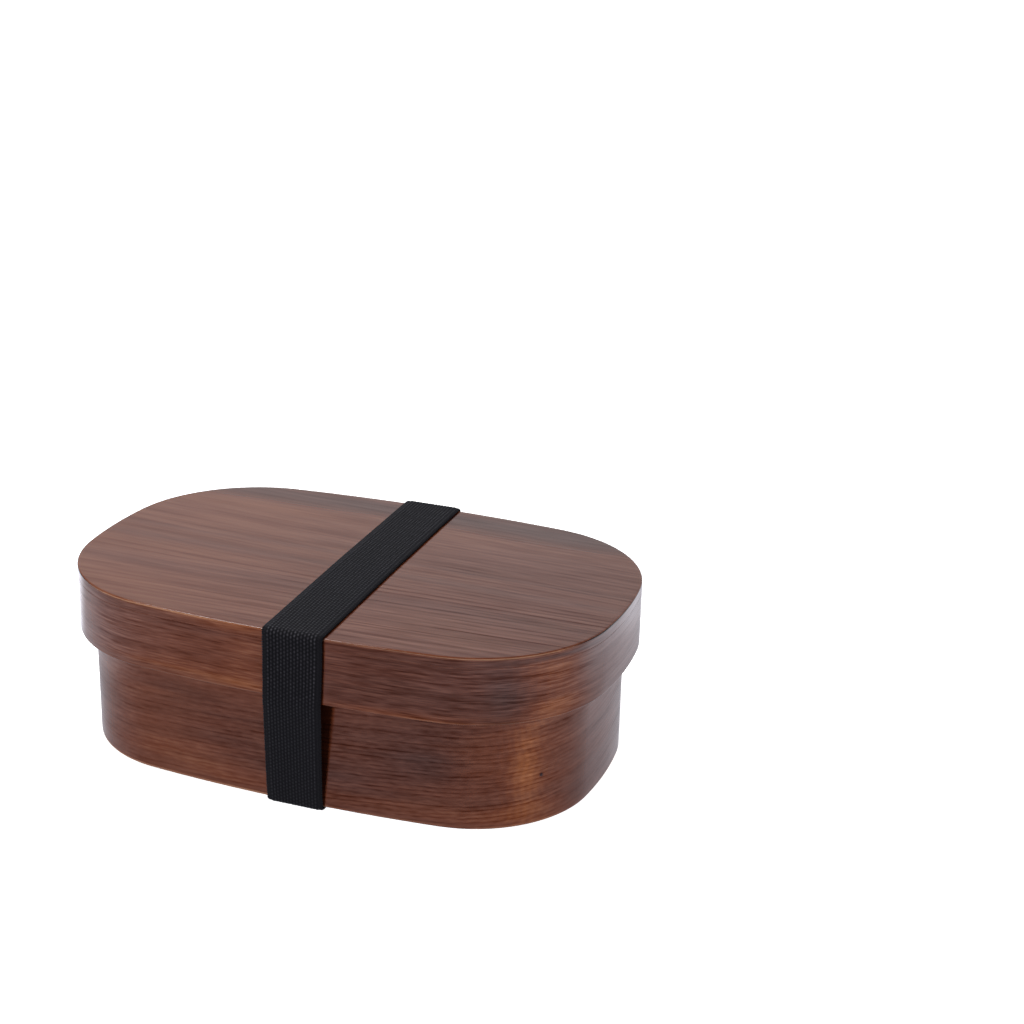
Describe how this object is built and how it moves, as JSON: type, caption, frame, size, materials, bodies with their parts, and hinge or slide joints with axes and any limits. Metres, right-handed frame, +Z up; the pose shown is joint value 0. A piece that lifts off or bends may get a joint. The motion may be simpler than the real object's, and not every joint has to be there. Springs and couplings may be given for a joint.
{
  "type": "bento lunch box",
  "caption": "Oblong bentwood lunch box with bowed sides, an overlapping lid, a loose divider inside and a wide elastic band that holds the lid shut.",
  "frame": {"origin": "on the table, under the middle of the box, at the underside of the elastic band", "axes": "+X along the length of the box, -Y the front long side, +Z up"},
  "size_m": [0.185, 0.123, 0.0629],
  "materials": {
    "lacquered_cedar": "straight-grained cedar under a dark wiped lacquer, semi-gloss",
    "elastic_webbing": "black knitted elastic webbing, matt, ribbed lengthwise",
    "sewing_thread": "black spun thread"
  },
  "bodies": {
    "box": {"box_hoop": "lacquered_cedar", "box_floor": "lacquered_cedar"},
    "lid": {"lid_hoop": "lacquered_cedar", "lid_top": "lacquered_cedar"},
    "divider": {"divider": "lacquered_cedar"},
    "band_lower": {"elastic_band_lower": "elastic_webbing", "band_stitches": "sewing_thread"},
    "band_upper": {"elastic_band_upper": "elastic_webbing"}
  },
  "joints": [
    {"name": "lid_lift", "type": "slide", "parent": "box", "child": "lid", "axis": [0, 0, 1], "range_m": [0, 0.05]},
    {"name": "divider_slide", "type": "slide", "parent": "box", "child": "divider", "axis": [1, 0, 0], "range_m": [-0.0555, 0.0115]},
    {"name": "band_slide", "type": "slide", "parent": "box", "child": "band_lower", "axis": [1, 0, 0], "range_m": [-0.108, 0]},
    {"name": "band_stretch", "type": "slide", "parent": "band_lower", "child": "band_upper", "axis": [0, 0, 1], "range_m": [0, 0.05]}
  ],
  "couplings": [
    {"joint": "band_stretch", "follows": "lid_lift", "ratio": 1}
  ]
}
